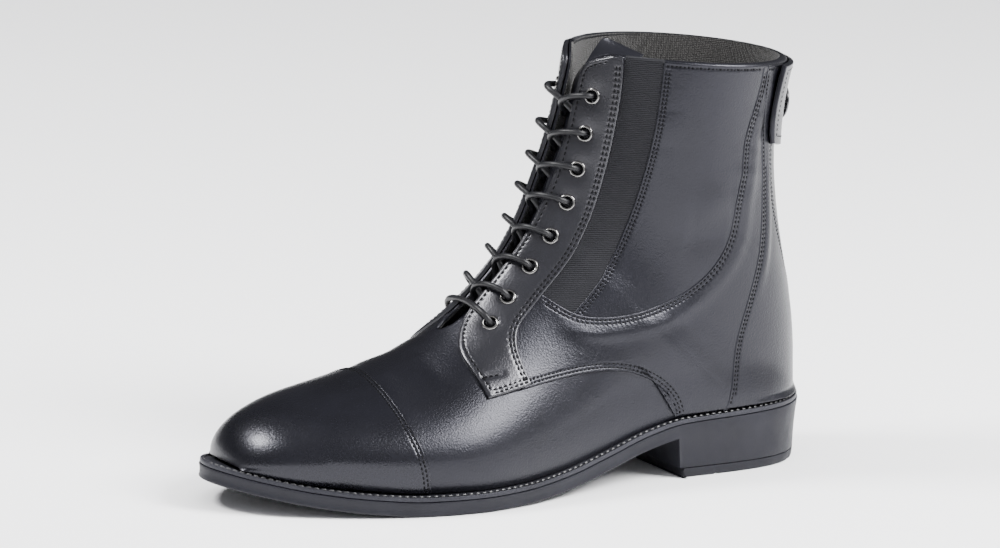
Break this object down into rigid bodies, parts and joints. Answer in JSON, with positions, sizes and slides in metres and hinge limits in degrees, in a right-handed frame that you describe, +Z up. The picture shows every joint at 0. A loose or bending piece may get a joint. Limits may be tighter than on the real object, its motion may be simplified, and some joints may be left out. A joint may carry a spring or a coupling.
{
  "type": "paddock boot",
  "caption": "Left ankle-high riding boot: hollow lasted leather upper with laced front, elastic gores, stitched toe cap and a low heel",
  "frame": {"origin": "on the floor under the middle of the boot's length and width, measured on its box", "axes": "+Z up; the toe points to -X, the heel to +X; -Y is the outer side of this left foot"},
  "size_m": [0.29, 0.1042, 0.1874],
  "materials": {
    "upper_leather": "smooth black leather, semi gloss",
    "cap_leather": "smooth black leather, polished at the toe",
    "gore_elastic": "black ribbed elastic",
    "sole_rubber": "charcoal rubber, satin",
    "lift_rubber": "charcoal rubber, matt",
    "welt_leather": "black stitched welt strip",
    "insole_cloth": "dark woven cover",
    "zip_tape": "black leather strip over the closed zip",
    "snap_metal": "black lacquered snap cap",
    "tongue_leather": "smooth black leather",
    "eyelet_metal": "dark nickel",
    "lace_cord": "round black braided lace"
  },
  "bodies": {
    "root": {"back_tab": "upper_leather", "backstrap": "upper_leather", "counter_inner": "upper_leather", "counter_outer": "upper_leather", "eyelet_inner_1": "eyelet_metal", "eyelet_inner_2": "eyelet_metal", "eyelet_inner_3": "eyelet_metal", "eyelet_inner_4": "eyelet_metal", "eyelet_inner_5": "eyelet_metal", "eyelet_inner_6": "eyelet_metal", "eyelet_inner_7": "eyelet_metal", "eyelet_inner_8": "eyelet_metal", "eyelet_outer_1": "eyelet_metal", "eyelet_outer_2": "eyelet_metal", "eyelet_outer_3": "eyelet_metal", "eyelet_outer_4": "eyelet_metal", "eyelet_outer_5": "eyelet_metal", "eyelet_outer_6": "eyelet_metal", "eyelet_outer_7": "eyelet_metal", "eyelet_outer_8": "eyelet_metal", "facing_inner": "upper_leather", "facing_outer": "upper_leather", "gore_inner": "gore_elastic", "gore_outer": "gore_elastic", "heel_top_lift": "lift_rubber", "insole": "insole_cloth", "lace_bar": "lace_cord", "lace_crossing_1": "lace_cord", "lace_crossing_2": "lace_cord", "lace_crossing_3": "lace_cord", "lace_crossing_4": "lace_cord", "lace_crossing_5": "lace_cord", "lace_crossing_6": "lace_cord", "lace_crossing_7": "lace_cord", "outsole": "sole_rubber", "quarter_inner": "upper_leather", "quarter_outer": "upper_leather", "shaft_inner": "upper_leather", "shaft_outer": "upper_leather", "snap": "snap_metal", "toe_cap": "cap_leather", "tongue": "tongue_leather", "upper": "upper_leather", "welt": "welt_leather", "zip_strip": "zip_tape"}
  },
  "joints": []
}
